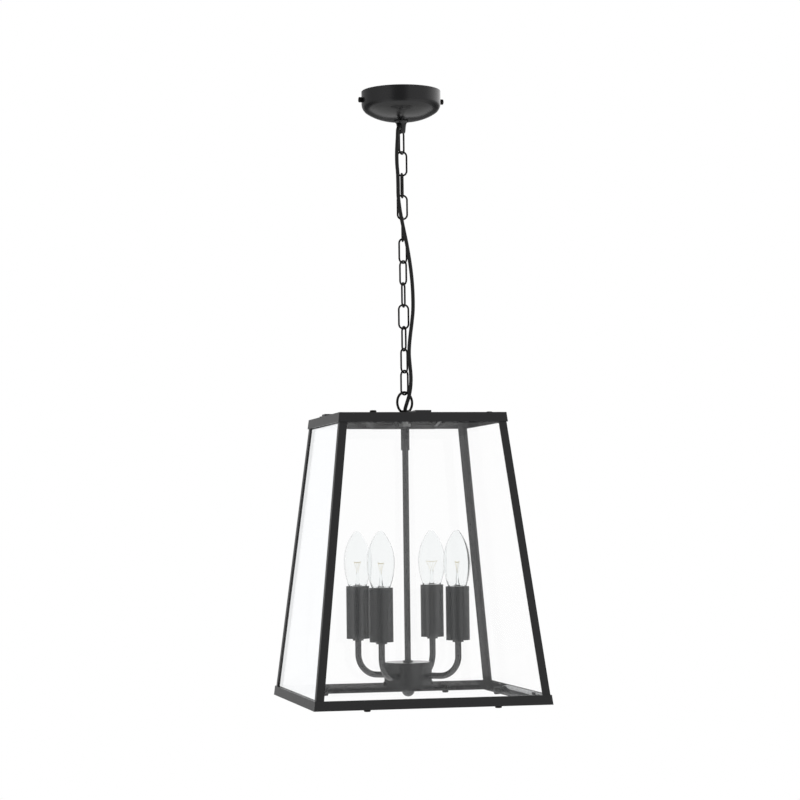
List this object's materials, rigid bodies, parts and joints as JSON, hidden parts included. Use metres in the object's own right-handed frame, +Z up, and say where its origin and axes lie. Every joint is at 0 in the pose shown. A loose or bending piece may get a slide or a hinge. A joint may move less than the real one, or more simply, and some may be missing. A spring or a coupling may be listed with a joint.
{
  "type": "hanging lantern",
  "caption": "Tapered hanging lantern: clear glass panes in a black steel frame, with a cluster of candle bulbs, on a chain with its cable and a round ceiling canopy.",
  "frame": {"origin": "middle of the two ceiling screw holes, on the ceiling plane", "axes": "+Z up into the ceiling, -Y out of the front pane, +X to the right seen from the front"},
  "size_m": [0.3, 0.3, 0.7897],
  "materials": {
    "black_steel": "satin",
    "zinc_steel": "satin",
    "moulded_plastic": "matte",
    "cable_sheath": "satin",
    "clear_glass": "polished",
    "cap_metal": "satin"
  },
  "bodies": {
    "canopy": {"canopy_cup": "black_steel", "ceiling_bracket": "zinc_steel", "terminal_block": "moulded_plastic", "canopy_loop": "black_steel", "canopy_loop_nut": "zinc_steel", "flex_cable": "cable_sheath"},
    "screw_left": {"canopy_screw_left": "black_steel"},
    "screw_right": {"canopy_screw_right": "black_steel"},
    "link_01": {"chain_link_01": "black_steel"},
    "link_02": {"chain_link_02": "black_steel"},
    "link_03": {"chain_link_03": "black_steel"},
    "link_04": {"chain_link_04": "black_steel"},
    "link_05": {"chain_link_05": "black_steel"},
    "link_06": {"chain_link_06": "black_steel"},
    "link_07": {"chain_link_07": "black_steel"},
    "link_08": {"chain_link_08": "black_steel"},
    "link_09": {"chain_link_09": "black_steel"},
    "link_10": {"chain_link_10": "black_steel"},
    "link_11": {"chain_link_11": "black_steel"},
    "link_12": {"chain_link_12": "black_steel"},
    "finial": {"finial": "black_steel"},
    "bulb_1": {"bulb_glass_1": "clear_glass", "bulb_cap_1": "cap_metal"},
    "bulb_2": {"bulb_glass_2": "clear_glass", "bulb_cap_2": "cap_metal"},
    "bulb_3": {"bulb_glass_3": "clear_glass", "bulb_cap_3": "cap_metal"},
    "bulb_4": {"bulb_glass_4": "clear_glass", "bulb_cap_4": "cap_metal"},
    "lantern": {"lantern_loop": "black_steel", "loop_nipple": "zinc_steel", "tube_nuts": "zinc_steel", "strap_side_to_side": "black_steel", "strap_front_to_back": "black_steel", "top_frame": "black_steel", "bottom_frame": "black_steel", "post_front_left": "black_steel", "post_front_right": "black_steel", "post_back_right": "black_steel", "post_back_left": "black_steel", "glass_front": "clear_glass", "glass_right": "clear_glass", "glass_back": "clear_glass", "glass_left": "clear_glass", "glass_clips": "black_steel", "frame_screws": "black_steel", "frame_nuts": "black_steel", "stem_collar": "black_steel", "stem": "black_steel", "hub_body": "black_steel", "hub_cover": "black_steel", "arm_1": "black_steel", "arm_2": "black_steel", "arm_3": "black_steel", "arm_4": "black_steel", "candle_sleeve_1": "black_steel", "candle_sleeve_2": "black_steel", "candle_sleeve_3": "black_steel", "candle_sleeve_4": "black_steel", "lampholders": "moulded_plastic"}
  },
  "joints": [
    {"name": "turn_screw_left", "type": "hinge", "parent": "canopy", "child": "screw_left", "pos_m": [-0.052, 0, -0.012], "axis": [1, 0, 0], "continuous": true},
    {"name": "turn_screw_right", "type": "hinge", "parent": "canopy", "child": "screw_right", "pos_m": [0.052, 0, -0.012], "axis": [1, 0, 0], "continuous": true},
    {"name": "swing_link_01", "type": "hinge", "parent": "canopy", "child": "link_01", "pos_m": [0, 0, -0.0535], "axis": [0.766, -0.6428, 0], "range_deg": [-12, 12], "deforming": ["flex_cable"]},
    {"name": "swing_link_02", "type": "hinge", "parent": "link_01", "child": "link_02", "pos_m": [0, 0, -0.0816], "axis": [0.6428, 0.766, 0], "range_deg": [-12, 12], "deforming": ["flex_cable"]},
    {"name": "swing_link_03", "type": "hinge", "parent": "link_02", "child": "link_03", "pos_m": [0, 0, -0.1101], "axis": [0.9781, -0.2079, 0], "range_deg": [-12, 12], "deforming": ["flex_cable"]},
    {"name": "swing_link_04", "type": "hinge", "parent": "link_03", "child": "link_04", "pos_m": [0, 0, -0.1386], "axis": [0.3746, 0.9272, 0], "range_deg": [-12, 12], "deforming": ["flex_cable"]},
    {"name": "swing_link_05", "type": "hinge", "parent": "link_04", "child": "link_05", "pos_m": [0, 0, -0.1671], "axis": [0.9925, -0.1219, 0], "range_deg": [-12, 12], "deforming": ["flex_cable"]},
    {"name": "swing_link_06", "type": "hinge", "parent": "link_05", "child": "link_06", "pos_m": [0, 0, -0.1956], "axis": [0.1219, 0.9925, 0], "range_deg": [-12, 12], "deforming": ["flex_cable"]},
    {"name": "swing_link_07", "type": "hinge", "parent": "link_06", "child": "link_07", "pos_m": [0, 0, -0.2241], "axis": [0.8829, 0.4695, 0], "range_deg": [-12, 12], "deforming": ["flex_cable"]},
    {"name": "swing_link_08", "type": "hinge", "parent": "link_07", "child": "link_08", "pos_m": [0, 0, -0.2526], "axis": [-0.4695, 0.8829, 0], "range_deg": [-12, 12], "deforming": ["flex_cable"]},
    {"name": "swing_link_09", "type": "hinge", "parent": "link_08", "child": "link_09", "pos_m": [0, 0, -0.2811], "axis": [0.5, 0.866, 0], "range_deg": [-12, 12], "deforming": ["flex_cable"]},
    {"name": "swing_link_10", "type": "hinge", "parent": "link_09", "child": "link_10", "pos_m": [0, 0, -0.3096], "axis": [-0.9781, 0.2079, 0], "range_deg": [-12, 12], "deforming": ["flex_cable"]},
    {"name": "swing_link_11", "type": "hinge", "parent": "link_10", "child": "link_11", "pos_m": [0, 0, -0.3381], "axis": [-0.1736, 0.9848, 0], "range_deg": [-12, 12], "deforming": ["flex_cable"]},
    {"name": "swing_link_12", "type": "hinge", "parent": "link_11", "child": "link_12", "pos_m": [0, 0, -0.3666], "axis": [-0.788, -0.6157, 0], "range_deg": [-12, 12], "deforming": ["flex_cable"]},
    {"name": "swing_lantern", "type": "hinge", "parent": "link_12", "child": "lantern", "pos_m": [0, 0, -0.3951], "axis": [-0.5299, 0.848, 0], "range_deg": [-12, 12], "deforming": ["flex_cable"]},
    {"name": "unscrew_finial", "type": "hinge", "parent": "lantern", "child": "finial", "pos_m": [0, 0, -0.7709], "axis": [0, 0, 1], "continuous": true},
    {"name": "lift_bulb_1", "type": "slide", "parent": "lantern", "child": "bulb_1", "axis": [0, 0, 1], "range_m": [0, 0.03]},
    {"name": "lift_bulb_2", "type": "slide", "parent": "lantern", "child": "bulb_2", "axis": [0, 0, 1], "range_m": [0, 0.03]},
    {"name": "lift_bulb_3", "type": "slide", "parent": "lantern", "child": "bulb_3", "axis": [0, 0, 1], "range_m": [0, 0.03]},
    {"name": "lift_bulb_4", "type": "slide", "parent": "lantern", "child": "bulb_4", "axis": [0, 0, 1], "range_m": [0, 0.03]}
  ]
}
